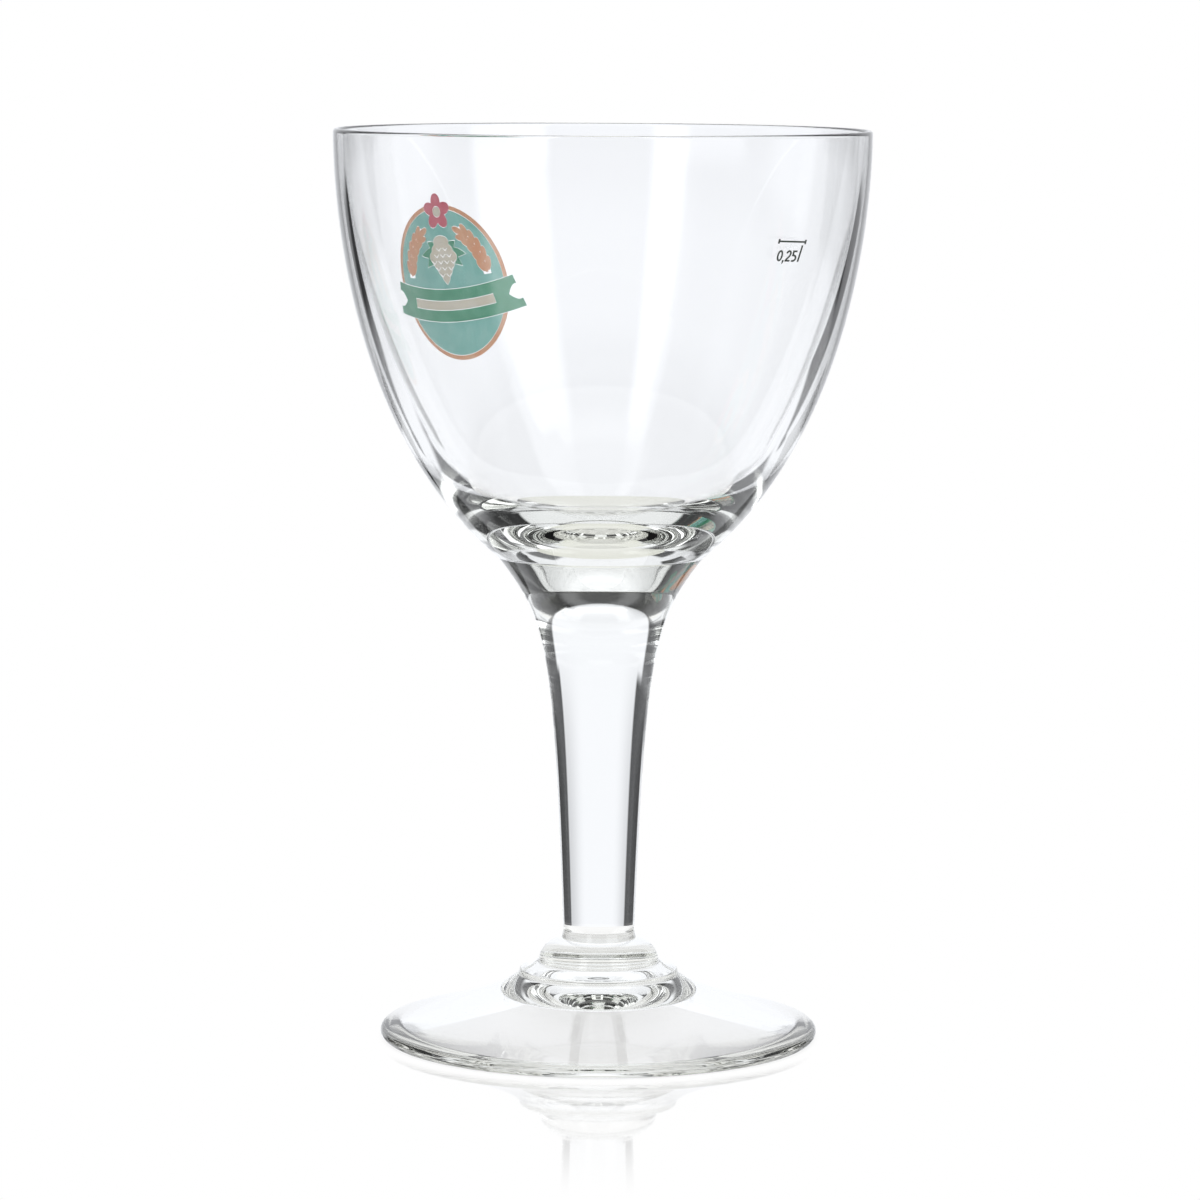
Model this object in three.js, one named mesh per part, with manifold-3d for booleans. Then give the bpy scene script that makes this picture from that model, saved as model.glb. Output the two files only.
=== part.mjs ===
// Stemmed beer goblet in clear glass: a blown bowl fused to a pressed stem and foot, with a printed
// fill mark and a printed emblem on the outside of the bowl. Millimetres, +Z up, the foot on Z = 0.
import * as THREE from "three";
import Module from "manifold-3d";
import { mergeVertices } from "three/addons/utils/BufferGeometryUtils.js";

const wasm = await Module();
wasm.setup();

// Overall sizes
const GOBLET_HEIGHT = 175.4;
const RIM_RADIUS = 51.4;
const FOOT_RADIUS = 42.25;
const FOOT_HEIGHT = 19.3; // table to the fused joint between foot and stem
const STEM_HEIGHT = 74.15; // from that joint to the one under the bowl

// Bowl
const BOWL_JOINT_RADIUS = 19.7;
const BELLY_SHARE = [0.945, 0.305]; // how far out and up the lower handle of the outside curve is
const BRIM_SHARE = 0.88; // how far up the outside curve turns plumb
const RIM_WALL = 1.2;
const KNEE_WALL = 4.75; // level wall thickness where the floor curve begins
const KNEE_RISE = 25.9; // that height above the joint
const BASE_THICKNESS = 5.25; // solid glass under the middle of the floor
const FLOOR_REACH = 21.8; // radius out to which the floor stays nearly level
const KNEE_LEAD = 12;

// Stem
const STEM_FOOT_RADIUS = 6.9;
const COLLAR_REACH = 0.3; // how far the stem spreads where it meets the foot
const COLLAR_HEIGHT = 1.8;
const STEM_SLIM_SHARE = [0.16, 0.781]; // lower handle: the slow taper
const STEM_FLARE_SHARE = [0.287, 0.834]; // upper handle: the flare under the bowl

// Foot
const BUN_RADIUS = 11.6; // rounded swelling that the stem stands on
const BUN_SPREAD = 5.65;
const BUN_BASE = 14.75; // height where the bun is widest
const STEP_RADIUS = 15.3; // low moulded step round the bun
const STEP_HEIGHT = 13.4;
const STEP_ROUND = 0.42;
const EDGE_THICKNESS = 2.5;
const EDGE_ROUND = 1.13;
const REST_WIDTH = 2.9; // level ring that meets the table
const UNDER_DOME = 7.8; // rise of the hollow underside
const CROWN_SHARE = 0.458; // of the hollow's radius: its nearly level middle
const CROWN_DROP = 1.6; // how far that middle sinks towards its edge

// Prints
const PRINT_LIFT = 0.02;
const PRINT_THICKNESS = 0.12;
const PRINT_GAP = 0.12; // bare line between two colours
const MARK_BEARING = -45.5; // degrees from +X towards +Y
const MARK_BELOW_BRIM = 19; // to the fill line, which measures a quarter of a litre
const MARK_TILT = -2.7; // degrees by which the mark sits askew
const MARK_WIDTH = 7.1;
const MARK_STROKE = 0.33;
const MARK_DROP = 1.6; // from the line to the number
const MARK_SLANT = 0.14;
const DIGIT_HEIGHT = 2.1;
const EMBLEM_BEARING = 133.5;
const EMBLEM_BELOW_BRIM = 33.5; // to the middle of the round ground
const GROUND_RADIUS = 14.2;
const RING_WIDTH = 0.8;
const HOP_TOP = 0.6 * GROUND_RADIUS; // above the middle of the ground
const HOP_LENGTH = 0.64 * GROUND_RADIUS;
const HOP_WIDTH = 0.5 * GROUND_RADIUS;
const SCALE_LINE = 0.2;
const RIBBON_LENGTH = 2.42 * GROUND_RADIUS;
const RIBBON_WIDTH = 0.44 * GROUND_RADIUS;
const RIBBON_DROP = 0.33 * GROUND_RADIUS; // below the middle of the ground
const RIBBON_BEND = 4.2 * GROUND_RADIUS;
const STRIPE_SHARE = [0.66, 0.27]; // of the ribbon's length and width
const WREATH_RADIUS = 0.77 * GROUND_RADIUS;
const GRAIN = [0.1 * GROUND_RADIUS, 0.045 * GROUND_RADIUS]; // half length and half width
const GRAIN_PAIRS = 5;
const ROSETTE_Y = 0.96 * GROUND_RADIUS;
const PETAL = [0.12 * GROUND_RADIUS, 0.088 * GROUND_RADIUS];
const INK = 0x2c352c;
const TEAL = 0x74b0a9;
const GREEN = 0x489c80;
const GOLD = 0xe8a673;
const ROSE = 0xd4687c;
const CREAM = 0xf1ead6;

// Fineness
const AROUND = 64;
const WALL_STEPS = 22;

const JOINT_Z = FOOT_HEIGHT + STEM_HEIGHT;
const COLLAR_RADIUS = STEM_FOOT_RADIUS + COLLAR_REACH;
const BEAD = RIM_WALL / 2;
const BRIM_Z = GOBLET_HEIGHT - BEAD;
const DEGREE = Math.PI / 180;

const glass = new THREE.MeshStandardMaterial({
  color: 0xeef4f3,
  roughness: 0.02,
  transparent: true,
  opacity: 0.3,
});

// Shared helpers
function enamel(color) {
  return new THREE.MeshStandardMaterial({ color, roughness: 0.35 });
}

function curvePoints(ends, steps) {
  const [a, b, c, d] = ends.map(([r, z]) => new THREE.Vector2(r, z));
  return new THREE.CubicBezierCurve(a, b, c, d).getPoints(steps);
}

function arcPoints(r, z, reachR, reachZ, from, to, steps) {
  const arc = new THREE.EllipseCurve(r, z, reachR, reachZ, from * DEGREE, to * DEGREE, to < from);
  return arc.getPoints(steps);
}

function turned(points) {
  return new THREE.LatheGeometry(points, AROUND).rotateX(Math.PI / 2);
}

function solid(geometry) {
  const bare = geometry.clone().deleteAttribute("normal").deleteAttribute("uv");
  const merged = mergeVertices(bare, 1e-4);
  const mesh = { numProp: 3 };
  mesh.vertProperties = merged.attributes.position.array;
  mesh.triVerts = new Uint32Array(merged.index.array);
  return new wasm.Manifold(new wasm.Mesh(mesh));
}

function meshOf(body, material, name) {
  const { vertProperties, triVerts } = body.getMesh();
  const geometry = new THREE.BufferGeometry();
  geometry.setAttribute("position", new THREE.BufferAttribute(vertProperties, 3));
  geometry.setIndex(new THREE.BufferAttribute(triVerts, 1));
  return named(geometry, material, name);
}

function named(geometry, material, name) {
  const mesh = new THREE.Mesh(geometry, material);
  mesh.name = name;
  return mesh;
}

// Bowl
function bowlOutside() {
  const spread = RIM_RADIUS - BOWL_JOINT_RADIUS;
  const rise = BRIM_Z - JOINT_Z;
  const [out, up] = BELLY_SHARE;
  const belly = [BOWL_JOINT_RADIUS + out * spread, JOINT_Z + up * rise];
  const brim = [RIM_RADIUS, JOINT_Z + BRIM_SHARE * rise];
  const ends = [[BOWL_JOINT_RADIUS, JOINT_Z], belly, brim, [RIM_RADIUS, BRIM_Z]];
  return curvePoints(ends, WALL_STEPS);
}

// The level wall thickness grows steadily from the rim down to the knee.
function bowlWallInside() {
  const kneeZ = JOINT_Z + KNEE_RISE;
  const growth = (KNEE_WALL - RIM_WALL) / (BRIM_Z - kneeZ);
  const wall = bowlOutside().filter((p) => p.y > kneeZ);
  const inside = wall.map((p) => new THREE.Vector2(p.x - RIM_WALL - growth * (BRIM_Z - p.y), p.y));
  return inside.reverse();
}

function bowlFloor(wall) {
  const knee = wall.at(-1);
  const towards = knee.clone().sub(wall.at(-2)).setLength(KNEE_LEAD);
  const lead = knee.clone().add(towards);
  const floorZ = JOINT_Z + BASE_THICKNESS;
  const ends = [[knee.x, knee.y], [lead.x, lead.y], [FLOOR_REACH, floorZ], [0, floorZ]];
  return curvePoints(ends, 12).slice(1);
}

function bowl() {
  const lip = arcPoints(RIM_RADIUS - BEAD, BRIM_Z, BEAD, BEAD, 0, 180, 6).slice(1, -1);
  const wall = bowlWallInside();
  const foot = new THREE.Vector2(0, JOINT_Z);
  const outline = [foot, ...bowlOutside(), ...lip, ...wall, ...bowlFloor(wall)];
  return named(turned(outline), glass, "bowl");
}

// Stem
function stem() {
  const start = FOOT_HEIGHT + COLLAR_HEIGHT;
  const spread = BOWL_JOINT_RADIUS - STEM_FOOT_RADIUS;
  const at = ([out, up]) => [STEM_FOOT_RADIUS + out * spread, start + up * (JOINT_Z - start)];
  const side = curvePoints([at([0, 0]), at(STEM_SLIM_SHARE), at(STEM_FLARE_SHARE), at([1, 1])], 18);
  const bottom = new THREE.Vector2(0, FOOT_HEIGHT);
  const top = new THREE.Vector2(0, JOINT_Z);
  return named(turned([bottom, ...stemCollar(), ...side.slice(1), top]), glass, "stem");
}

function stemCollar() {
  const top = FOOT_HEIGHT + COLLAR_HEIGHT;
  const waist = [STEM_FOOT_RADIUS, top - 0.6 * COLLAR_HEIGHT];
  const ends = [[COLLAR_RADIUS, FOOT_HEIGHT], [COLLAR_RADIUS, FOOT_HEIGHT + 0.3 * COLLAR_HEIGHT], waist];
  return curvePoints([...ends, [STEM_FOOT_RADIUS, top]], 3);
}

// Foot: the hollow underneath has a gently domed crown, and beyond it runs down beside the top.
function footUnderside() {
  const rest = FOOT_RADIUS - EDGE_ROUND - REST_WIDTH;
  const edge = CROWN_SHARE * rest;
  const low = UNDER_DOME - CROWN_DROP;
  const shoulder = [edge / 1.5, UNDER_DOME - CROWN_DROP / 3];
  const crown = curvePoints([[0, UNDER_DOME], [edge / 3, UNDER_DOME], shoulder, [edge, low]], 4);
  const spread = rest - edge;
  const ends = [[edge, low], [edge + 0.2 * spread, 0.7 * low], [rest - 0.45 * spread, 0.29 * low]];
  return [...crown, ...curvePoints([...ends, [rest, 0]], 6).slice(1)];
}

function footEdge() {
  const half = EDGE_THICKNESS / 2;
  return arcPoints(FOOT_RADIUS - EDGE_ROUND, half, EDGE_ROUND, half, -90, 80, 7);
}

function footTop(edge) {
  const foot = [STEP_RADIUS + 0.15, STEP_HEIGHT - 2.5 * STEP_ROUND];
  const spread = edge.x - foot[0];
  const rise = foot[1] - edge.y;
  const slope = [edge.x - 0.44 * spread, edge.y + 0.29 * rise];
  const crest = [foot[0] + 0.11 * spread, edge.y + 0.69 * rise];
  return curvePoints([[edge.x, edge.y], slope, crest, foot], 10).slice(1);
}

function footStep() {
  const corner = STEP_HEIGHT - STEP_ROUND;
  const round = arcPoints(STEP_RADIUS - STEP_ROUND, corner, STEP_ROUND, STEP_ROUND, 0, 90, 3);
  const width = STEP_RADIUS - STEP_ROUND - BUN_RADIUS;
  const rise = BUN_BASE - STEP_HEIGHT;
  const outer = [BUN_RADIUS + 0.72 * width, STEP_HEIGHT + 0.35 * rise];
  const inner = [BUN_RADIUS + 0.15 * width, STEP_HEIGHT + 0.6 * rise];
  const start = [STEP_RADIUS - STEP_ROUND, STEP_HEIGHT];
  const ledge = curvePoints([start, outer, inner, [BUN_RADIUS, BUN_BASE]], 4);
  return [...round, ...ledge.slice(1)];
}

// The bun's curve runs up into the joint with the stem.
function footBun() {
  const centre = BUN_RADIUS - BUN_SPREAD;
  const end = Math.acos((COLLAR_RADIUS - centre) / BUN_SPREAD);
  const rise = (FOOT_HEIGHT - BUN_BASE) / Math.sin(end);
  return arcPoints(centre, BUN_BASE, BUN_SPREAD, rise, 0, end / DEGREE, 7).slice(1);
}

function foot() {
  const edge = footEdge();
  const top = new THREE.Vector2(0, FOOT_HEIGHT);
  const side = [...footTop(edge.at(-1)), ...footStep(), ...footBun()];
  return named(turned([...footUnderside(), ...edge, ...side, top]), glass, "foot");
}

// Thin layer that follows the outside of the bowl, from which each print is cut
function printLayer() {
  const low = JOINT_Z + KNEE_RISE / 2;
  const wall = bowlOutside().filter((p) => p.y > low);
  const inner = wall.map((p) => new THREE.Vector2(p.x + PRINT_LIFT, p.y));
  const outer = inner.map((p) => new THREE.Vector2(p.x + PRINT_THICKNESS, p.y));
  return solid(turned([...outer, ...inner.reverse(), outer[0]]));
}

const layer = printLayer();

// Flat shapes of the prints, each drawn as seen from outside the bowl
function slab(shape, holes = []) {
  shape.holes.push(...holes);
  const depth = RIM_RADIUS;
  return new THREE.ExtrudeGeometry(shape, { depth, bevelEnabled: false, curveSegments: 8 });
}

function oval(x, y, halfLength, halfWidth, angle = 0) {
  const shape = new THREE.Shape().absellipse(0, 0, halfLength, halfWidth, 0, 2 * Math.PI);
  return slab(shape).rotateZ(angle).translate(x, y, 0);
}

function disc(radius) {
  return new THREE.CylinderGeometry(radius, radius, RIM_RADIUS, 72)
    .rotateX(Math.PI / 2)
    .translate(0, 0, RIM_RADIUS / 2);
}

function bar(x0, y0, x1, y1, width) {
  const length = Math.hypot(x1 - x0, y1 - y0);
  const box = new THREE.BoxGeometry(length, width, RIM_RADIUS);
  box.rotateZ(Math.atan2(y1 - y0, x1 - x0));
  return box.translate((x0 + x1) / 2, (y0 + y1) / 2, RIM_RADIUS / 2);
}

// A pen stroke of even width along a curve.
function stroke(curve, width, steps = 18) {
  const left = [];
  const right = [];
  for (let i = 0; i <= steps; i++) {
    const p = curve.getPointAt(i / steps);
    const t = curve.getTangentAt(i / steps).multiplyScalar(width / 2);
    left.push(new THREE.Vector2(p.x - t.y, p.y + t.x));
    right.push(new THREE.Vector2(p.x + t.y, p.y - t.x));
  }
  return slab(new THREE.Shape([...left, ...right.reverse()]));
}

function leaf(x, y, length, width, angle) {
  const shape = new THREE.Shape();
  shape.quadraticCurveTo(length * 0.35, width, length, 0);
  shape.quadraticCurveTo(length * 0.35, -width, 0, 0);
  return slab(shape).rotateZ(angle).translate(x, y, 0);
}

function joined(geometries) {
  return wasm.Manifold.union(geometries.map(solid));
}

// The cutting shape is made deeper than what it cuts, so no skin is left at either end.
function cut(flat, tool) {
  return flat.subtract(tool.scale([1, 1, 1.2]).translate([0, 0, -0.1 * RIM_RADIUS]));
}

// A print is the part of the layer that its flat shape covers, looking in along the bearing.
function printed(flat, bearing, belowBrim, color, name) {
  const out = new THREE.Vector3(Math.cos(bearing * DEGREE), Math.sin(bearing * DEGREE), 0);
  const up = new THREE.Vector3(0, 0, 1);
  const side = new THREE.Vector3().crossVectors(up, out);
  const place = new THREE.Matrix4().makeBasis(side, up, out);
  place.setPosition(out.multiplyScalar(RIM_RADIUS / 4).setZ(BRIM_Z - belowBrim));
  return meshOf(flat.transform(place.elements).intersect(layer), enamel(color), name);
}

// Fill mark: a line with two ticks, the number 0,25 and a slanted litre sign
function mark(geometries, name) {
  const shear = new THREE.Matrix4().makeShear(0, 0, MARK_SLANT, 0, 0, 0);
  const slanted = geometries.map((geometry) => geometry.applyMatrix4(shear).rotateZ(MARK_TILT * DEGREE));
  return printed(joined(slanted), MARK_BEARING, MARK_BELOW_BRIM, INK, name);
}

function fillLine() {
  const half = MARK_WIDTH / 2;
  const tick = 0.42;
  const line = bar(-half, 0, half, 0, MARK_STROKE);
  const ends = [-half, half].map((x) => bar(x, -tick, x, tick, MARK_STROKE));
  return mark([line, ...ends], "fill_line");
}

function digitZero(x, low) {
  const half = DIGIT_HEIGHT / 2;
  const reach = 0.32 * DIGIT_HEIGHT;
  const outer = new THREE.Shape().absellipse(0, half, reach, half, 0, 2 * Math.PI);
  const hole = new THREE.Path();
  hole.absellipse(0, half, reach - 0.9 * MARK_STROKE, half - MARK_STROKE, 0, 2 * Math.PI);
  return mark([slab(outer, [hole]).translate(x, low, 0)], "fill_digit_0");
}

function decimalComma(x, low) {
  const size = 0.1 * DIGIT_HEIGHT;
  const tail = bar(x + 0.4 * size, low + 0.5 * size, x - 0.6 * size, low - 1.8 * size, 0.8 * size);
  return mark([oval(x, low + 0.5 * size, size, 0.8 * size), tail], "fill_comma");
}

function digitTwo(x, low) {
  const top = low + DIGIT_HEIGHT - MARK_STROKE / 2;
  const path = new THREE.CurvePath();
  path.add(digitCurve([[-0.24, -0.2], [-0.19, 0.1], [0.36, 0.1], [0.2, -0.36]], x, top));
  path.add(digitCurve([[0.2, -0.36], [0.1, -0.55], [-0.14, -0.62], [-0.25, -0.87]], x, top));
  const y = low + MARK_STROKE / 2;
  const base = bar(x - 0.31 * DIGIT_HEIGHT, y, x + 0.27 * DIGIT_HEIGHT, y, MARK_STROKE);
  return mark([stroke(path, MARK_STROKE), base], "fill_digit_2");
}

function digitFive(x, low) {
  const top = low + DIGIT_HEIGHT - MARK_STROKE / 2;
  const left = x - 0.2 * DIGIT_HEIGHT;
  const flag = bar(left, top, x + 0.24 * DIGIT_HEIGHT, top, MARK_STROKE);
  const side = bar(left, top + MARK_STROKE / 2, left, top - 0.44 * DIGIT_HEIGHT, MARK_STROKE);
  const belly = digitCurve([[-0.21, -0.37], [0.37, -0.3], [0.34, -0.95], [-0.27, -0.84]], x, top);
  return mark([flag, side, stroke(belly, MARK_STROKE)], "fill_digit_5");
}

function litreSign(x, low) {
  const top = low + 1.45 * DIGIT_HEIGHT;
  return mark([bar(x - 0.04 * DIGIT_HEIGHT, low, x + 0.12 * DIGIT_HEIGHT, top, MARK_STROKE)], "fill_litre");
}

// The curve's ends are given in shares of the digit's height.
function digitCurve(ends, x, y) {
  const points = ends.map(([u, v]) => new THREE.Vector2(x + u * DIGIT_HEIGHT, y + v * DIGIT_HEIGHT));
  return new THREE.CubicBezierCurve(...points);
}

function fillMark() {
  const low = -MARK_DROP - DIGIT_HEIGHT;
  const at = (share) => -MARK_WIDTH / 2 + share * DIGIT_HEIGHT;
  const digits = [digitZero(at(0.52), low), decimalComma(at(1.01), low)];
  const more = [digitTwo(at(1.56), low), digitFive(at(2.33), low), litreSign(at(2.96), low)];
  return [fillLine(), ...digits, ...more];
}

// Emblem: on a round ground a hop cone between two leaves and two barley ears, a ribbon with a light
// stripe across the lower part, a ring round the ground and a rosette on top
function emblemPart(flat, color, name) {
  return printed(flat, EMBLEM_BEARING, EMBLEM_BELOW_BRIM, color, name);
}

// Rows of pointed scales, each row set off by half a scale from the next
function hopScales() {
  const scales = [];
  const pitch = HOP_LENGTH / 7.2;
  const spacing = HOP_WIDTH / 4;
  for (let row = 0; row < 6; row++) {
    const count = 4 - Math.abs(row - 2);
    for (let i = 0; i < count; i++) {
      const x = (i - (count - 1) / 2) * spacing;
      scales.push({ x, y: HOP_TOP - row * pitch, length: 2.2 * pitch, width: 1.25 * spacing });
    }
  }
  return scales;
}

function hopCone(grow) {
  const blade = ({ x, y, length, width }) => {
    return leaf(x, y + grow, length + 2.4 * grow, width + 2.4 * grow, -Math.PI / 2);
  };
  const scales = hopScales();
  const body = joined([...scales.map(blade), oval(0, HOP_TOP - 0.8, 0.3 * HOP_WIDTH + grow, 1.2 + grow)]);
  return grow > 0 ? body : cut(body, joined(scales.slice(0, -1).flatMap(scaleTip)));
}

// Two bare lines that mark the tip of a scale
function scaleTip({ x, y, length, width }) {
  const side = 0.3 * width;
  const high = y - 0.71 * length;
  const low = y - 0.93 * length;
  return [-side, side].map((offset) => bar(x + offset, high, x, low, SCALE_LINE));
}

function hopLeaf(grow, side) {
  const lobes = [[-8, 0.36], [34, 0.23], [-38, 0.34]];
  const turn = (angle) => (side > 0 ? angle : 180 - angle) * DEGREE;
  const x = 0.08 * side * GROUND_RADIUS;
  const y = HOP_TOP - 0.18 * GROUND_RADIUS;
  const width = 0.13 * GROUND_RADIUS + grow;
  const blades = lobes.map(([angle, reach]) => {
    return leaf(x, y, reach * GROUND_RADIUS + 2 * grow, width, turn(angle));
  });
  const palm = oval(0.2 * side * GROUND_RADIUS, y - 1.1, 1.4 + grow, 1.6 + grow);
  return joined([...blades, palm]);
}

function ribbonBand(length, width) {
  const reach = Math.asin(length / 2 / RIBBON_BEND);
  const down = 1.5 * Math.PI;
  const y = RIBBON_BEND - RIBBON_DROP;
  const middle = new THREE.EllipseCurve(0, y, RIBBON_BEND, RIBBON_BEND, down - reach, down + reach);
  return solid(stroke(middle, width, 24));
}

function ribbonStripe(grow) {
  const [long, wide] = STRIPE_SHARE;
  return ribbonBand(long * RIBBON_LENGTH + 2 * grow, wide * RIBBON_WIDTH + 2 * grow);
}

function ribbon() {
  const band = ribbonBand(RIBBON_LENGTH, RIBBON_WIDTH);
  const reach = Math.asin(RIBBON_LENGTH / 2 / RIBBON_BEND);
  const endY = RIBBON_BEND * (1 - Math.cos(reach)) - RIBBON_DROP;
  const notch = (side) => {
    const x = side * (RIBBON_LENGTH / 2 + 1.2);
    return leaf(x, endY + 0.3, -0.6 * side * RIBBON_WIDTH, 0.5 * RIBBON_WIDTH, side * reach);
  };
  return cut(band, joined([notch(-1), notch(1)]).add(ribbonStripe(PRINT_GAP)));
}

function barleyEar(grow, side) {
  const from = 16;
  const sweep = 40;
  const at = (share) => (side > 0 ? from + share * sweep : 180 - from - share * sweep) * DEGREE;
  const grains = [];
  const grain = (radius, turn, lean) => {
    const angle = turn + side * (90 - lean * 24) * DEGREE;
    const [long, wide] = GRAIN;
    return oval(radius * Math.cos(turn), radius * Math.sin(turn), long + grow, wide + grow, angle);
  };
  for (let i = 0; i < GRAIN_PAIRS; i++) {
    const turn = at(i / (GRAIN_PAIRS - 1));
    grains.push(grain(WREATH_RADIUS - 1.35 * GRAIN[1], turn, -1));
    grains.push(grain(WREATH_RADIUS + 1.35 * GRAIN[1], turn, 1));
  }
  grains.push(grain(WREATH_RADIUS, at(1.18), 0));
  const [width, foot] = grow > 0 ? [3 * GRAIN[1], at(-0.25)] : [0.5, at(-0.2)];
  const stalk = new THREE.EllipseCurve(0, 0, WREATH_RADIUS, WREATH_RADIUS, foot, at(1.18), side < 0);
  return joined([stroke(stalk, width, 12), ...grains]);
}

function rosette(grow) {
  const petals = [];
  const [long, wide] = PETAL;
  for (let i = 0; i < 5; i++) {
    const angle = (90 + 72 * i) * DEGREE;
    const [x, y] = [1.13 * long * Math.cos(angle), 1.13 * long * Math.sin(angle)];
    petals.push(oval(x, ROSETTE_Y + y, long + grow, wide + grow, angle));
  }
  return joined(petals);
}

function rosetteEye(grow) {
  const radius = 0.6 * PETAL[0] + grow;
  return solid(oval(0, ROSETTE_Y, radius, radius));
}

// Lowest piece first, then from left to right
function pieces(flat) {
  const corner = (piece) => piece.boundingBox().min;
  const [low, ...high] = flat.decompose().sort((a, b) => corner(a)[1] - corner(b)[1]);
  return [low, ...high.sort((a, b) => corner(a)[0] - corner(b)[0])];
}

function gapRound(shapes) {
  return wasm.Manifold.union([...shapes, ribbonBand(RIBBON_LENGTH, RIBBON_WIDTH + 2 * PRINT_GAP)]);
}

function ground() {
  const sides = [-1, 1].flatMap((side) => [hopLeaf(PRINT_GAP, side), barleyEar(PRINT_GAP, side)]);
  const motifs = gapRound([...sides, hopCone(PRINT_GAP), rosette(PRINT_GAP)]);
  return pieces(cut(solid(disc(GROUND_RADIUS)), motifs));
}

function ring() {
  const inner = GROUND_RADIUS + PRINT_GAP;
  const gap = gapRound([solid(disc(inner)), rosette(PRINT_GAP)]);
  return pieces(cut(solid(disc(inner + RING_WIDTH)), gap));
}

function emblem() {
  const [groundLow, groundHigh] = ground();
  const [ringLow, ringLeft, ringRight] = ring();
  const cone = hopCone(PRINT_GAP);
  return [
    emblemPart(groundLow, TEAL, "emblem_ground_lower"),
    emblemPart(groundHigh, TEAL, "emblem_ground_upper"),
    emblemPart(ringLow, GOLD, "emblem_ring_lower"),
    emblemPart(ringLeft, GOLD, "emblem_ring_left"),
    emblemPart(ringRight, GOLD, "emblem_ring_right"),
    emblemPart(hopCone(0), CREAM, "emblem_hop_cone"),
    emblemPart(cut(hopLeaf(0, -1), cone), GREEN, "emblem_leaf_left"),
    emblemPart(cut(hopLeaf(0, 1), cone), GREEN, "emblem_leaf_right"),
    emblemPart(ribbon(), GREEN, "emblem_ribbon"),
    emblemPart(ribbonStripe(0), CREAM, "emblem_ribbon_stripe"),
    emblemPart(barleyEar(0, -1), GOLD, "emblem_barley_left"),
    emblemPart(barleyEar(0, 1), GOLD, "emblem_barley_right"),
    emblemPart(cut(rosette(0), rosetteEye(PRINT_GAP)), ROSE, "emblem_rosette"),
    emblemPart(rosetteEye(0), CREAM, "emblem_rosette_eye"),
  ];
}

// Goblet
const goblet = new THREE.Group();
goblet.name = "beer_goblet";
goblet.add(bowl(), stem(), foot(), ...fillMark(), ...emblem());

export default goblet;
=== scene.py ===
"""Beer goblet in clear glass with a printed fill mark and a small printed emblem, on a pale floor."""
import math

import bpy
from mathutils import Matrix, Vector


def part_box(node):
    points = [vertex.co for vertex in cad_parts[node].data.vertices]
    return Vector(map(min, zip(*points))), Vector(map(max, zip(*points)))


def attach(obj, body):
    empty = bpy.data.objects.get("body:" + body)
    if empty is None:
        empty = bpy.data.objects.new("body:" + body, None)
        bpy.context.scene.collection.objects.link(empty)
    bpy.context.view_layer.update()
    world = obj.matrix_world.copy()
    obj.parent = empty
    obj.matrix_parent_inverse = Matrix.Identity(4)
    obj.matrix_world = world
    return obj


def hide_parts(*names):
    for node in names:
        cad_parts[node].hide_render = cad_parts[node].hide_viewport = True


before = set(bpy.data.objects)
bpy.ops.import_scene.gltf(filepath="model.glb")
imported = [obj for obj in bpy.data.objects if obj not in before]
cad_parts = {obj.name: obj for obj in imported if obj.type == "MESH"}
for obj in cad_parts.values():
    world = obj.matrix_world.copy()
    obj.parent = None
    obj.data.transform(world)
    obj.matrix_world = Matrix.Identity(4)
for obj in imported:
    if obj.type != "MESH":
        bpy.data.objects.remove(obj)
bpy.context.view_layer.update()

# The camera stands a little higher than the rim, nearly a metre away, and looks slightly down through a
# long lens. Its place was worked out from the ellipses of the rim, the joint, the step and the foot.
CAMERA_PLACE = (-0.0001, -0.9883, 0.1997)
CAMERA_PITCH = 6.616
CAMERA_ROLL = 0.3
CAMERA_LENS = 155.03
SENSOR_WIDTH = 36
FAR_CLIP = 50

camera_data = bpy.data.cameras.new("camera")
camera_data.sensor_width = SENSOR_WIDTH
camera_data.lens = CAMERA_LENS
camera_data.clip_end = FAR_CLIP
camera = bpy.data.objects.new("camera", camera_data)
bpy.context.scene.collection.objects.link(camera)
camera_turn = Matrix.Rotation(math.radians(90 - CAMERA_PITCH), 4, "X")
camera_turn @= Matrix.Rotation(math.radians(CAMERA_ROLL), 4, "Z")
camera.matrix_world = Matrix.Translation(CAMERA_PLACE) @ camera_turn
bpy.context.scene.camera = camera

# Bowl: a deep rounded glass bowl, blown in a turning mould and cut and fire-polished at the rim.
# Its wall is thin at the rim and grows steadily to a thick base, where it is fused to the stem.
MM = 0.001
RIM_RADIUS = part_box("bowl")[1].x
BOWL_JOINT_Z, RIM_Z = (corner.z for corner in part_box("bowl"))
BOWL_JOINT_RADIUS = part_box("stem")[1].x
RIM_WALL = 1.2 * MM
BRIM_Z = RIM_Z - RIM_WALL / 2
BELLY_HANDLES = ((0.945, 0.305), (1, 0.88))
KNEE_WALL = 4.75 * MM
KNEE_RISE = 25.9 * MM
KNEE_LEAD = 12 * MM
BASE_THICKNESS = 5.25 * MM
FLOOR_REACH = 21.8 * MM
RIM_STEPS, SIDE_STEPS, FLOOR_STEPS = 12, 150, 60
AROUND = 256
WELD = 0.001 * MM
SHARP_ANGLE = 50
NO_JOINT = -1.0
GLASS_COLOUR = "ffffff"
GLASS_IOR = 1.52
GLASS_TINT = "e6e8dc"
GLASS_TINT_DENSITY = 6.0
RIPPLE_SQUEEZE = 0.45
BLOWN_RIPPLE = (30 * MM, 0.004 * MM)
MATH_NODE = "ShaderNodeMath"


def linear(hex_colour):
    """Turns an sRGB hex colour into linear red, green, blue and alpha."""
    values = []
    for start in (0, 2, 4):
        value = int(hex_colour[start:start + 2], 16) / 255
        values.append(value / 12.92 if value <= 0.04045 else ((value + 0.055) / 1.055) ** 2.4)
    return (*values, 1.0)


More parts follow.
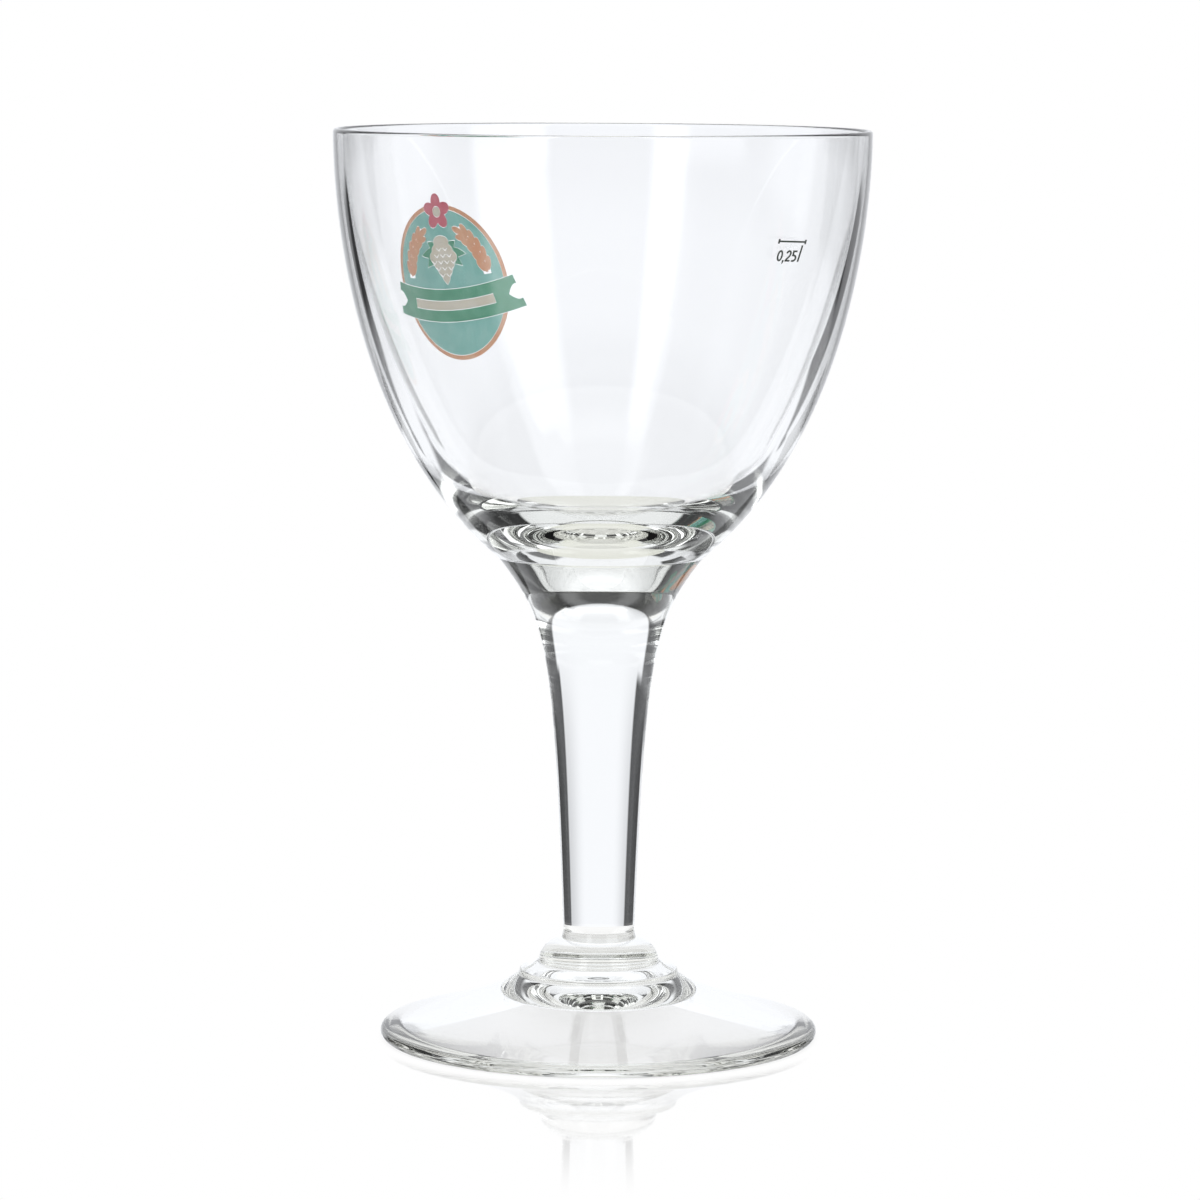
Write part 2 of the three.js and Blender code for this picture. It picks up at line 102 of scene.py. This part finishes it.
def add(tree, kind, inputs=(), **settings):
    """Adds a node to a tree. Its inputs are given by name, or in order. Each is a value, the socket
    that it is linked to, or the node whose first output it is linked to."""
    node = tree.nodes.new(kind)
    for name, value in settings.items():
        setattr(node, name, value)
    for key, value in inputs.items() if isinstance(inputs, dict) else enumerate(inputs):
        if isinstance(value, bpy.types.Node):
            value = value.outputs[0]
        if isinstance(value, bpy.types.NodeSocket):
            tree.links.new(value, node.inputs[key])
        else:
            node.inputs[key].default_value = value
    return node


def new_material(name):
    """Returns an empty material and its node tree."""
    material = bpy.data.materials.new(name)
    material.use_nodes = True
    material.node_tree.nodes.clear()
    return material, material.node_tree


def soda_lime_glass(name, ripple, ripple_height):
    """Fire-polished soda-lime glass: clear, with a faint green tint where it is thick.
    The mould leaves a slow ripple that bends what is seen through it a little."""
    material, tree = new_material(name)
    place = add(tree, "ShaderNodeTexCoord").outputs["Object"]
    squeezed = add(tree, "ShaderNodeMapping", {"Vector": place, "Scale": (1, 1, RIPPLE_SQUEEZE)})
    waves = add(tree, "ShaderNodeTexNoise", {"Vector": squeezed, "Scale": 1 / ripple, "Detail": 1.0})
    bump = add(tree, "ShaderNodeBump", {"Height": waves, "Distance": ripple_height})
    glass = add(tree, "ShaderNodeBsdfPrincipled", {
        "Base Color": linear(GLASS_COLOUR), "Roughness": 0.0, "IOR": GLASS_IOR,
        "Transmission Weight": 1.0, "Normal": bump})
    tint = add(tree, "ShaderNodeVolumeAbsorption", {
        "Color": linear(GLASS_TINT), "Density": GLASS_TINT_DENSITY})
    add(tree, "ShaderNodeOutputMaterial", {"Surface": glass, "Volume": tint})
    return material


def fused_face():
    """The level face where two pieces are fused: glass on both sides, so nothing shows there."""
    material, tree = new_material("fused_glass_face")
    add(tree, "ShaderNodeOutputMaterial", {"Surface": add(tree, "ShaderNodeBsdfTransparent")})
    return material


def curve(ends, steps):
    """Points along a cubic curve, given by its two ends and two handles as (radius, height)."""
    a, b, c, d = (Vector(end) for end in ends)
    points = []
    for step in range(steps + 1):
        t = step / steps
        s = 1 - t
        points.append(s ** 3 * a + 3 * s * s * t * b + 3 * s * t * t * c + t ** 3 * d)
    return points


def sweep(start, end, handles, steps):
    """A curve whose handles are given as shares of the way across and of the way up to its end."""
    across, up = end[0] - start[0], end[1] - start[1]
    return curve([start, *((start[0] + x * across, start[1] + z * up) for x, z in handles), end], steps)


def arc(centre, reach, start, end, steps):
    """Points along an arc of an ellipse, with its angles in degrees."""
    points = []
    for step in range(steps + 1):
        angle = math.radians(start + (end - start) * step / steps)
        x = centre[0] + reach[0] * math.cos(angle)
        points.append(Vector((x, centre[1] + reach[1] * math.sin(angle))))
    return points


def new_socket(tree, name, kind, default=None, is_output=False):
    """Adds a named input or output to a node group."""
    side = "OUTPUT" if is_output else "INPUT"
    socket = tree.interface.new_socket(name, in_out=side, socket_type=kind)
    if default is not None:
        socket.default_value = default


def creased(tree, geometry, angle):
    """Shades a surface smooth, apart from the edges that turn by more than the angle."""
    smooth = add(tree, "GeometryNodeSetShadeSmooth", {"Geometry": geometry})
    edge_angle = add(tree, "GeometryNodeInputMeshEdgeAngle").outputs["Unsigned Angle"]
    sharp = add(tree, "FunctionNodeCompare", (edge_angle, angle))
    return add(tree, "GeometryNodeSetShadeSmooth", {
        "Geometry": smooth, "Selection": sharp, "Shade Smooth": False}, domain="EDGE")


def turning_tree():
    """Geometry Nodes that turn an outline, drawn in the XZ plane, round the Z axis.
    Each outline point makes a ring, and the rings on the axis close to a pole."""
    tree = bpy.data.node_groups.new("turned_outline", "GeometryNodeTree")
    new_socket(tree, "Outline", "NodeSocketGeometry")
    new_socket(tree, "Segments", "NodeSocketInt", AROUND)
    new_socket(tree, "Sharp angle", "NodeSocketFloat", math.radians(SHARP_ANGLE))
    new_socket(tree, "Lower joint height", "NodeSocketFloat", NO_JOINT)
    new_socket(tree, "Upper joint height", "NodeSocketFloat", NO_JOINT)
    new_socket(tree, "Glass", "NodeSocketMaterial")
    new_socket(tree, "Joint face", "NodeSocketMaterial")
    new_socket(tree, "Turned", "NodeSocketGeometry", is_output=True)
    given = add(tree, "NodeGroupInput").outputs

    count = add(tree, "GeometryNodeAttributeDomainSize", (given["Outline"],)).outputs["Point Count"]
    columns = add(tree, MATH_NODE, (given["Segments"], 1.0), operation="ADD")
    grid = add(tree, "GeometryNodeMeshGrid", {"Vertices X": columns, "Vertices Y": count})
    index = add(tree, "GeometryNodeInputIndex")
    row = add(tree, MATH_NODE, (index, count), operation="MODULO")
    column = add(tree, MATH_NODE, (index, count), operation="DIVIDE")
    column = add(tree, MATH_NODE, (column,), operation="FLOOR")
    share = add(tree, MATH_NODE, (column, given["Segments"]), operation="DIVIDE")
    angle = add(tree, MATH_NODE, (share, 2 * math.pi), operation="MULTIPLY")
    place = add(tree, "GeometryNodeInputPosition")
    point = add(tree, "GeometryNodeSampleIndex", {
        "Geometry": given["Outline"], "Value": place, "Index": row}, data_type="FLOAT_VECTOR")
    on_ring = add(tree, "ShaderNodeVectorRotate", {
        "Vector": point, "Axis": (0, 0, 1), "Angle": angle})
    rings = add(tree, "GeometryNodeSetPosition", {"Geometry": grid, "Position": on_ring})
    closed = add(tree, "GeometryNodeMergeByDistance", {"Geometry": rings, "Distance": WELD})
    surface = creased(tree, closed, given["Sharp angle"])

    height = add(tree, "ShaderNodeSeparateXYZ", (place,)).outputs["Z"]
    at_joint = []
    for name in ("Lower joint height", "Upper joint height"):
        at_joint.append(add(tree, "FunctionNodeCompare", {
            0: height, 1: given[name], "Epsilon": WELD}, operation="EQUAL"))
    either = add(tree, "FunctionNodeBooleanMath", at_joint, operation="OR")
    real = add(tree, "GeometryNodeRealizeInstances", (surface,))
    glass = add(tree, "GeometryNodeSetMaterial", {"Geometry": real, "Material": given["Glass"]})
    faces = add(tree, "GeometryNodeSetMaterial", {
        "Geometry": glass, "Selection": either, "Material": given["Joint face"]})
    add(tree, "NodeGroupOutput", {"Turned": faces})
    return tree


def made_by(tree, name, source, values):
    """Runs a Geometry Nodes tree on a mesh and returns the result as an object with a plain mesh."""
    rough = bpy.data.objects.new(name + "_source", source)
    bpy.context.scene.collection.objects.link(rough)
    modifier = rough.modifiers.new("nodes", "NODES")
    modifier.node_group = tree
    for item in tree.interface.items_tree:
        if item.name in values:
            modifier[item.identifier] = values[item.name]
    evaluated = rough.evaluated_get(bpy.context.evaluated_depsgraph_get())
    mesh = bpy.data.meshes.new_from_object(evaluated)
    mesh.name = name
    bpy.data.objects.remove(rough)
    piece = bpy.data.objects.new(name, mesh)
    bpy.context.scene.collection.objects.link(piece)
    return piece


def turned(name, outline, glass, lower_joint=NO_JOINT, upper_joint=NO_JOINT, segments=AROUND):
    """Makes a glass piece from its outline, standing in for the CAD node of the same name."""
    source = bpy.data.meshes.new(name + "_outline")
    points = [(point[0], 0, point[1]) for point in outline]
    source.from_pydata(points, [(i, i + 1) for i in range(len(points) - 1)], [])
    piece = made_by(turn, name + "_glass", source, {
        "Segments": segments, "Sharp angle": math.radians(SHARP_ANGLE),
        "Lower joint height": lower_joint, "Upper joint height": upper_joint,
        "Glass": glass, "Joint face": joint_face})
    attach(piece, "root")
    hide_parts(name)


def bowl_wall_inside(outside):
    """From the rim down to the knee, where the wall is thickest and the floor curve begins."""
    knee_z = BOWL_JOINT_Z + KNEE_RISE
    growth = (KNEE_WALL - RIM_WALL) / (BRIM_Z - knee_z)
    wall = [Vector((x - RIM_WALL - growth * (BRIM_Z - z), z)) for x, z in outside if z > knee_z]
    return wall[::-1]


def bowl_floor(wall):
    """From the knee down to the middle of the floor."""
    knee = wall[-1]
    lead = knee + (knee - wall[-2]).normalized() * KNEE_LEAD
    floor_z = BOWL_JOINT_Z + BASE_THICKNESS
    return curve([knee, lead, (FLOOR_REACH, floor_z), (0, floor_z)], FLOOR_STEPS)[1:]


turn = turning_tree()
joint_face = fused_face()
blown_glass = soda_lime_glass("blown_soda_lime_glass", *BLOWN_RIPPLE)
bowl_side = sweep((BOWL_JOINT_RADIUS, BOWL_JOINT_Z), (RIM_RADIUS, BRIM_Z), BELLY_HANDLES, SIDE_STEPS)
rim_bead = arc((RIM_RADIUS - RIM_WALL / 2, BRIM_Z), (RIM_WALL / 2, RIM_WALL / 2), 0, 180, RIM_STEPS)
bowl_wall = bowl_wall_inside(bowl_side)
bowl_outline = [
    Vector((0, BOWL_JOINT_Z)), *bowl_side, *rim_bead[1:-1], *bowl_wall, *bowl_floor(bowl_wall)]
turned("bowl", bowl_outline, blown_glass, lower_joint=BOWL_JOINT_Z)

# Stem: a solid round stem pressed in a mould and fire-polished, slim at the foot.
# It flares under the bowl, and is fused to the bowl and to the foot while both are hot.
FOOT_TOP_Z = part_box("stem")[0].z
STEM_FOOT_RADIUS = 6.9 * MM
COLLAR_RADIUS = STEM_FOOT_RADIUS + 0.3 * MM
COLLAR_TOP_Z = FOOT_TOP_Z + 1.8 * MM
COLLAR_HANDLES = ((0, 0.3), (1, 0.4))
FLARE_HANDLES = ((0.16, 0.781), (0.287, 0.834))
COLLAR_STEPS, STEM_STEPS = 12, 160
PRESSED_RIPPLE = (16 * MM, 0.006 * MM)

pressed_glass = soda_lime_glass("pressed_soda_lime_glass", *PRESSED_RIPPLE)
collar_top = (STEM_FOOT_RADIUS, COLLAR_TOP_Z)
collar_side = sweep((COLLAR_RADIUS, FOOT_TOP_Z), collar_top, COLLAR_HANDLES, COLLAR_STEPS)
stem_side = sweep(collar_top, (BOWL_JOINT_RADIUS, BOWL_JOINT_Z), FLARE_HANDLES, STEM_STEPS)
stem_outline = [Vector((0, FOOT_TOP_Z)), *collar_side, *stem_side[1:], Vector((0, BOWL_JOINT_Z))]
turned("stem", stem_outline, pressed_glass, FOOT_TOP_Z, BOWL_JOINT_Z)

# Foot: a round pressed glass foot with a bun under the stem, a low moulded step round the bun,
# a thin rounded edge, and a hollow underside that leaves one level ring to stand on.
FOOT_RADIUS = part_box("foot")[1].x
BUN_RADIUS = 11.6 * MM
BUN_SPREAD = 5.65 * MM
BUN_BASE = 14.75 * MM
STEP_RADIUS = 15.3 * MM
STEP_HEIGHT = 13.4 * MM
STEP_ROUND = 0.42 * MM
STEP_BASE = (STEP_RADIUS + 0.15 * MM, STEP_HEIGHT - 2.5 * STEP_ROUND)
LEDGE_HANDLES = ((0.28, 0.35), (0.85, 0.6))
DISC_HANDLES = ((0.44, 0.29), (0.89, 0.69))
EDGE_THICKNESS = 2.5 * MM
EDGE_ROUND = 1.13 * MM
EDGE_ANGLES = (-90, 80)
REST_WIDTH = 2.9 * MM
UNDER_DOME = 7.8 * MM
CROWN_SHARE = 0.458
CROWN_DROP = 1.6 * MM
CROWN_HANDLES = ((1 / 3, 0), (2 / 3, 1 / 3))
HOLLOW_HANDLES = ((0.2, 0.3), (0.55, 0.71))
UNDER_STEPS, EDGE_STEPS, DISC_STEPS, CORNER_STEPS, LEDGE_STEPS, BUN_STEPS = 30, 20, 50, 8, 16, 24
FOOT_AROUND = 480


def foot_underside():
    """From the middle of the hollow out to the ring that the goblet stands on."""
    rest = FOOT_RADIUS - EDGE_ROUND - REST_WIDTH
    crown_edge = (CROWN_SHARE * rest, UNDER_DOME - CROWN_DROP)
    crown = sweep((0, UNDER_DOME), crown_edge, CROWN_HANDLES, UNDER_STEPS)
    return [*crown, *sweep(crown_edge, (rest, 0), HOLLOW_HANDLES, UNDER_STEPS)[1:]]


def foot_step():
    """The step's round corner, and the ledge from it in to the bun."""
    centre = (STEP_RADIUS - STEP_ROUND, STEP_HEIGHT - STEP_ROUND)
    corner = arc(centre, (STEP_ROUND, STEP_ROUND), 0, 90, CORNER_STEPS)
    ledge = sweep((centre[0], STEP_HEIGHT), (BUN_RADIUS, BUN_BASE), LEDGE_HANDLES, LEDGE_STEPS)
    return [*corner, *ledge[1:]]


def foot_bun():
    """The bun's curve, which runs up into the joint with the stem."""
    centre = BUN_RADIUS - BUN_SPREAD
    end = math.acos((COLLAR_RADIUS - centre) / BUN_SPREAD)
    rise = (FOOT_TOP_Z - BUN_BASE) / math.sin(end)
    return arc((centre, BUN_BASE), (BUN_SPREAD, rise), 0, math.degrees(end), BUN_STEPS)[1:]


edge_half = EDGE_THICKNESS / 2
foot_edge = arc((FOOT_RADIUS - EDGE_ROUND, edge_half), (EDGE_ROUND, edge_half), *EDGE_ANGLES, EDGE_STEPS)
foot_disc = sweep(foot_edge[-1], STEP_BASE, DISC_HANDLES, DISC_STEPS)[1:]
foot_outline = [
    *foot_underside(), *foot_edge, *foot_disc, *foot_step(), *foot_bun(), Vector((0, FOOT_TOP_Z))]
turned("foot", foot_outline, pressed_glass, upper_joint=FOOT_TOP_Z, segments=FOOT_AROUND)

# Fill mark: a line with two ticks over the number 0,25 and a litre sign, screen-printed on the outside
# of the bowl in dark ceramic ink and fired on. The film takes the bowl's round.
CAD_FACETS = 64
PRINT_LIFT = 0.012 * MM
PRINT_WELD = 0.0005 * MM
PRINT_CUTS = 2
PRINT_SHARP_ANGLE = 30
ENAMEL_ROUGHNESS = 0.28
ENAMEL_IOR = 1.55
CLOUD_SIZE = 2.5 * MM
CLOUD_RANGE = (0.38, 0.7, 0.7)
GRAIN_SIZE = 0.22 * MM
GRAIN_RANGE = (0.5, 0.72, 0.35)
GRAIN_HEIGHT = 0.01 * MM
INK = "2c352c"
THIN_INK = "3a443a"
INK_SEE_THROUGH = 0.1


def rounding_tree():
    """Geometry Nodes that lay a CAD print on the round glass. The CAD print follows flat facets, so it
    is divided finely, and each point moves out by what its facet lacks of the circle."""
    tree = bpy.data.node_groups.new("print_round_the_bowl", "GeometryNodeTree")
    new_socket(tree, "Flat print", "NodeSocketGeometry")
    new_socket(tree, "Facets", "NodeSocketInt", CAD_FACETS)
    new_socket(tree, "Lift", "NodeSocketFloat", PRINT_LIFT)
    new_socket(tree, "Enamel", "NodeSocketMaterial")
    new_socket(tree, "Round print", "NodeSocketGeometry", is_output=True)
    given = add(tree, "NodeGroupInput").outputs

    whole = add(tree, "GeometryNodeMergeByDistance", {
        "Geometry": given["Flat print"], "Distance": PRINT_WELD})
    fine = add(tree, "GeometryNodeSubdivideMesh", {"Mesh": whole, "Level": PRINT_CUTS})
    place = add(tree, "GeometryNodeInputPosition")
    x, y, z = add(tree, "ShaderNodeSeparateXYZ", (place,)).outputs
    facet = add(tree, MATH_NODE, (2 * math.pi, given["Facets"]), operation="DIVIDE")
    half = add(tree, MATH_NODE, (facet, 2.0), operation="DIVIDE")
    bearing = add(tree, MATH_NODE, (y, x), operation="ARCTAN2")
    in_facet = add(tree, MATH_NODE, (bearing, facet), operation="FLOORED_MODULO")
    from_middle = add(tree, MATH_NODE, (in_facet, half), operation="SUBTRACT")
    here = add(tree, MATH_NODE, (from_middle,), operation="COSINE")
    at_corner = add(tree, MATH_NODE, (half,), operation="COSINE")
    stretch = add(tree, MATH_NODE, (here, at_corner), operation="DIVIDE")
    flat_place = add(tree, "ShaderNodeCombineXYZ", (x, y))
    radius = add(tree, "ShaderNodeVectorMath", (flat_place,), operation="LENGTH").outputs["Value"]
    lift = add(tree, MATH_NODE, (given["Lift"], radius), operation="DIVIDE")
    stretch = add(tree, MATH_NODE, (stretch, lift), operation="ADD")
    moved = [add(tree, MATH_NODE, (part, stretch), operation="MULTIPLY") for part in (x, y)]
    on_round = add(tree, "GeometryNodeSetPosition", {
        "Geometry": fine, "Position": add(tree, "ShaderNodeCombineXYZ", (*moved, z))})
    surface = creased(tree, on_round, math.radians(PRINT_SHARP_ANGLE))
    real = add(tree, "GeometryNodeRealizeInstances", (surface,))
    coloured = add(tree, "GeometryNodeSetMaterial", {"Geometry": real, "Material": given["Enamel"]})
    add(tree, "NodeGroupOutput", {"Round print": coloured})
    return tree


def fired_enamel(name, colour, thin_colour, see_through):
    """Screen-printed ceramic enamel, fired on: a glossy film whose colour thins out in soft clouds and
    in the grain that the screen leaves, drawn about twice as coarse as it is, so that it shows.
    Light from behind glows through the film a little."""
    material, tree = new_material(name)
    place = add(tree, "ShaderNodeTexCoord").outputs["Object"]
    clouds = add(tree, "ShaderNodeTexNoise", {"Vector": place, "Scale": 1 / CLOUD_SIZE, "Detail": 3.0})
    grain = add(tree, "ShaderNodeTexNoise", {"Vector": place, "Scale": 1 / GRAIN_SIZE, "Detail": 1.0})
    shares = []
    for noise, (low, high, most) in ((clouds, CLOUD_RANGE), (grain, GRAIN_RANGE)):
        shares.append(add(tree, "ShaderNodeMapRange", {
            "Value": noise, "From Min": low, "From Max": high, "To Max": most}))
    thin = add(tree, MATH_NODE, shares, operation="ADD", use_clamp=True)
    shades = add(tree, "ShaderNodeMix", {
        "Factor": thin, "A": linear(colour), "B": linear(thin_colour)}, data_type="RGBA")
    shade = shades.outputs["Result"]
    bump = add(tree, "ShaderNodeBump", {"Height": grain, "Distance": GRAIN_HEIGHT})
    film = add(tree, "ShaderNodeBsdfPrincipled", {
        "Base Color": shade, "Roughness": ENAMEL_ROUGHNESS, "IOR": ENAMEL_IOR, "Normal": bump})
    glow = add(tree, "ShaderNodeBsdfTranslucent", {"Color": shade})
    mixed = add(tree, "ShaderNodeMixShader", (see_through, film, glow))
    add(tree, "ShaderNodeOutputMaterial", {"Surface": mixed})
    return material


def printed(node, enamel):
    """Makes the print that stands for a CAD node, laid on the round glass."""
    piece = made_by(rounding, node + "_film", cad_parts[node].data.copy(), {
        "Facets": CAD_FACETS, "Lift": PRINT_LIFT, "Enamel": enamel})
    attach(piece, "root")
    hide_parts(node)


rounding = rounding_tree()
dark_ink = fired_enamel("fired_dark_ink", INK, THIN_INK, INK_SEE_THROUGH)
for mark_node in (
        "fill_line", "fill_digit_0", "fill_comma", "fill_digit_2", "fill_digit_5", "fill_litre"):
    printed(mark_node, dark_ink)

# Emblem: a round teal ground with a hop cone between two leaves and two barley ears, a ribbon, a ring
# and a rosette. Each colour is a screen print of its own in ceramic enamel, set off by a bare line and
# fired on.
ENAMEL_SEE_THROUGH = 0.85
EMBLEM_PRINTS = {
    "teal_enamel": ("b2e4dd", "cdf0ea", ("ground_lower", "ground_upper")),
    "green_enamel": ("72ccae", "9adcc6", ("leaf_left", "leaf_right", "ribbon")),
    "gold_enamel": ("f8cdaa", "fbe0c8", (
        "ring_lower", "ring_left", "ring_right", "barley_left", "barley_right")),
    "cream_enamel": ("f4efe2", "faf7f0", ("hop_cone", "ribbon_stripe", "rosette_eye")),
    "rose_enamel": ("f094a6", "f6b6c2", ("rosette",)),
}
for enamel_slot, (full_colour, thin_colour, emblem_nodes) in EMBLEM_PRINTS.items():
    enamel = fired_enamel("fired_" + enamel_slot, full_colour, thin_colour, ENAMEL_SEE_THROUGH)
    for emblem_node in emblem_nodes:
        printed("emblem_" + emblem_node, enamel)

# Table: a plain white surface, slightly glossy, that shows a soft mirror image of the goblet.
# The image fades with the distance from the foot, as it does on a sheet lit from above.
FLOOR_RADIUS = 140 * MM
FLOOR_DROP = 0.02 * MM
FLOOR_SIDES = 96
TABLE_COLOUR = "ffffff"
MIRROR_STRENGTH = 0.5
MIRROR_ROUGHNESS = 0.03
MIRROR_START = (44 * MM, 52 * MM)
MIRROR_REACH = (52 * MM, 140 * MM)
SHADE_LEVEL = 0.8
SHADE_REACH = (40 * MM, 43 * MM)


def table_top():
    """White sheet: evenly lit, with a mirror share that fades away from the goblet, and a soft shade
    under the foot."""
    material, tree = new_material("glossy_white_table")
    place = add(tree, "ShaderNodeTexCoord").outputs["Object"]
    distance = add(tree, "ShaderNodeVectorMath", (place,), operation="LENGTH").outputs["Value"]
    fades = []
    for reach, near, far in (
            (MIRROR_REACH, MIRROR_STRENGTH, 0.0),
            (MIRROR_START, 0.0, 1.0),
            (SHADE_REACH, SHADE_LEVEL, 1.0)):
        fades.append(add(tree, "ShaderNodeMapRange", {
            "Value": distance, "From Min": reach[0], "From Max": reach[1],
            "To Min": near, "To Max": far}, interpolation_type="SMOOTHSTEP"))
    share = add(tree, MATH_NODE, fades[:2], operation="MULTIPLY")
    seen = add(tree, "ShaderNodeLightPath").outputs["Is Camera Ray"]
    share = add(tree, MATH_NODE, (share, seen), operation="MULTIPLY")
    white = add(tree, "ShaderNodeEmission", {"Color": linear(TABLE_COLOUR), "Strength": fades[2]})
    mirror = add(tree, "ShaderNodeBsdfGlossy", {
        "Color": linear(TABLE_COLOUR), "Roughness": MIRROR_ROUGHNESS})
    mixed = add(tree, "ShaderNodeMixShader", (share, white, mirror))
    add(tree, "ShaderNodeOutputMaterial", {"Surface": mixed})
    return material


floor_mesh = bpy.data.meshes.new("floor")
floor_rim = arc((0, 0), (FLOOR_RADIUS, FLOOR_RADIUS), 0, 360, FLOOR_SIDES)[1:]
floor_mesh.from_pydata([(x, y, -FLOOR_DROP) for x, y in floor_rim], [], [range(FLOOR_SIDES)])
floor_mesh.materials.append(table_top())
floor = bpy.data.objects.new("floor", floor_mesh)
bpy.context.scene.collection.objects.link(floor)
floor.visible_glossy = False
floor.visible_diffuse = False

# Studio: a white tent. Dark rooms and flags at the sides, above and below draw the glass edges, fades,
# strips and low panels draw the stem and the base, and two soft boxes stand behind the camera.
TENT_LEVEL = 1.05
TENT_COLOUR = "f9fbff"
BACKDROP_COLOUR = "ffffff"
# Bearing from straight behind the goblet, height, half width, half height, level, soft edge and lean,
# which is how far the panel shifts sideways for each degree up. All angles are in degrees.
PANELS = {
    "back_room": (180, 20, 78, 32, 0.25, 6, 0),
    "left_room": (-88, 42, 46, 42.5, 0.05, 2, 0),
    "right_room": (88, 42, 46, 42.5, 0.03, 2, 0),
    "ceiling": (0, 82, 200, 18, 0.2, 4, 0),
    "zenith": (0, 90, 200, 14, 0.08, 4, 0),
    "backdrop_glow": (0, 38, 20, 8, 1.35, 8, 0),
    "left_fade": (-44, -8, 18, 8, 0.66, 12, 0),
    "right_fade": (44, -8, 18, 8, 0.66, 12, 0),
    "left_flag": (-50, -4, 16, 8, 0.04, 1.5, 0),
    "right_flag": (54, -3, 15, 9, 0.04, 1.5, 0),
    "left_strip": (-23.5, -15, 5, 3.2, 0.06, 0.7, 0),
    "right_strip": (26, -16.4, 4.5, 4.8, 0.06, 0.7, -1),
    "left_low": (-29, -32, 8, 7, 0.1, 1.5, 0),
    "right_low": (23, -31, 8.5, 7, 0.2, 1.5, 0),
    "under": (0, -65, 200, 22, 0.15, 4, 0),
    "left_box": (-149, 25, 8, 30, 2.2, 3, 0),
    "right_box": (136, 25, 18, 30, 1.8, 3, 0),
}
GLASS_BOUNCES = 32
OTHER_BOUNCES = 16


def studio():
    """World whose light depends on direction only: each panel in turn is laid over the tent. The camera,
    and the table's blurred mirror, see a plain white backdrop round the goblet."""
    world = bpy.data.worlds.new("white_tent")
    world.use_nodes = True
    tree = world.node_tree
    tree.nodes.clear()
    direction = add(tree, "ShaderNodeTexCoord").outputs["Generated"]
    x, y, z = add(tree, "ShaderNodeSeparateXYZ", (direction,)).outputs
    bearing = add(tree, MATH_NODE, (x, y), operation="ARCTAN2")
    bearing = add(tree, MATH_NODE, (bearing,), operation="DEGREES")
    height = add(tree, MATH_NODE, (z,), operation="ARCSINE")
    height = add(tree, MATH_NODE, (height,), operation="DEGREES")
    level = TENT_LEVEL
    for at_bearing, at_height, half_width, half_height, panel_level, edge, lean in PANELS.values():
        above = add(tree, MATH_NODE, (height, at_height), operation="SUBTRACT")
        middle = add(tree, MATH_NODE, (above, lean, at_bearing), operation="MULTIPLY_ADD")
        aside = add(tree, MATH_NODE, (bearing, middle), operation="SUBTRACT")
        aside = add(tree, MATH_NODE, (aside, 180.0, -180.0), operation="WRAP")
        inside = []
        for offset, half_size in ((aside, half_width), (above, half_height)):
            offset = add(tree, MATH_NODE, (offset,), operation="ABSOLUTE")
            inside.append(add(tree, "ShaderNodeMapRange", {
                "Value": offset, "From Min": half_size - edge, "From Max": half_size + edge,
                "To Min": 1.0, "To Max": 0.0}, interpolation_type="SMOOTHSTEP"))
        share = add(tree, MATH_NODE, inside, operation="MULTIPLY")
        level = add(tree, "ShaderNodeMix", {"Factor": share, 2: level, 3: panel_level})
    tent = add(tree, "ShaderNodeBackground", {"Color": linear(TENT_COLOUR), "Strength": level})
    plain = add(tree, "ShaderNodeBackground", {"Color": linear(BACKDROP_COLOUR)})
    ray = add(tree, "ShaderNodeLightPath").outputs
    blurred = add(tree, MATH_NODE, (ray["Is Glossy Ray"], ray["Is Singular Ray"]), operation="SUBTRACT")
    seen = add(tree, MATH_NODE, (ray["Is Camera Ray"], blurred), operation="ADD", use_clamp=True)
    mixed = add(tree, "ShaderNodeMixShader", (seen, tent, plain))
    add(tree, "ShaderNodeOutputWorld", {"Surface": mixed})
    return world


scene = bpy.context.scene
scene.world = studio()
scene.view_settings.view_transform = "Standard"
scene.cycles.max_bounces = GLASS_BOUNCES
scene.cycles.transmission_bounces = GLASS_BOUNCES
scene.cycles.glossy_bounces = OTHER_BOUNCES
scene.cycles.transparent_max_bounces = OTHER_BOUNCES
scene.cycles.use_denoising = True
